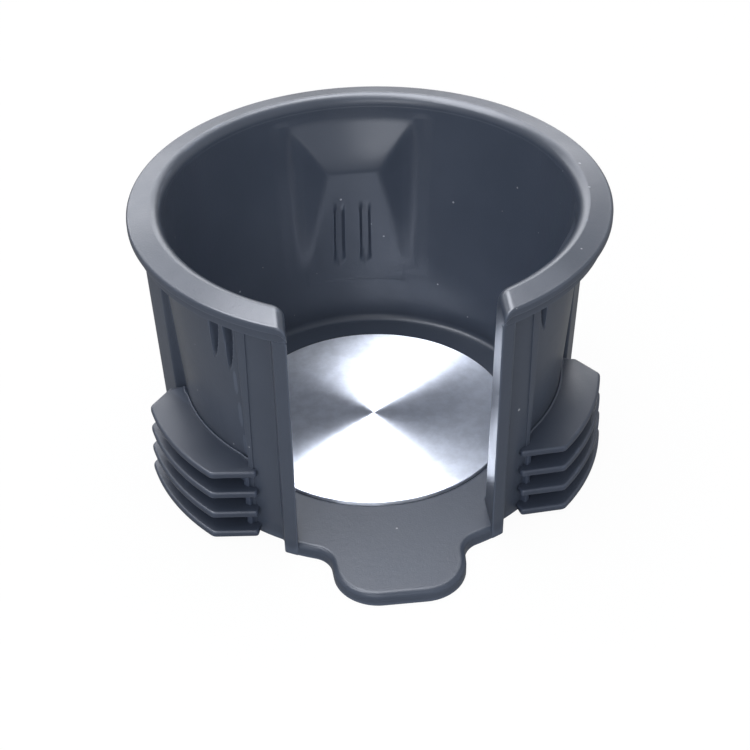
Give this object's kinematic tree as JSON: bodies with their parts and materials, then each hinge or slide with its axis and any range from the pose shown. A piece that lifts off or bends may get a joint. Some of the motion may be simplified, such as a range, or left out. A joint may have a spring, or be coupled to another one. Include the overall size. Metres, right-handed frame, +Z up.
{
  "type": "car cup holder insert",
  "caption": "Round dark plastic cup holder insert for a car console, open at the front, with a metal disc in its floor and soft fins at its sides.",
  "frame": {"origin": "on the cup axis at the underside of the floor", "axes": "+Z up along the cup axis, -Y towards the open front and its tongue, +X to the right of someone looking at the open front"},
  "size_m": [0.0945, 0.1018, 0.058],
  "materials": {
    "body_plastic": "satin",
    "disc_metal": "turned, fine rings",
    "fin_rubber": "satin"
  },
  "bodies": {
    "root": {"cup_body": "body_plastic", "base_disc": "disc_metal", "fin_block_left": "fin_rubber", "fin_block_right": "fin_rubber"}
  },
  "joints": []
}
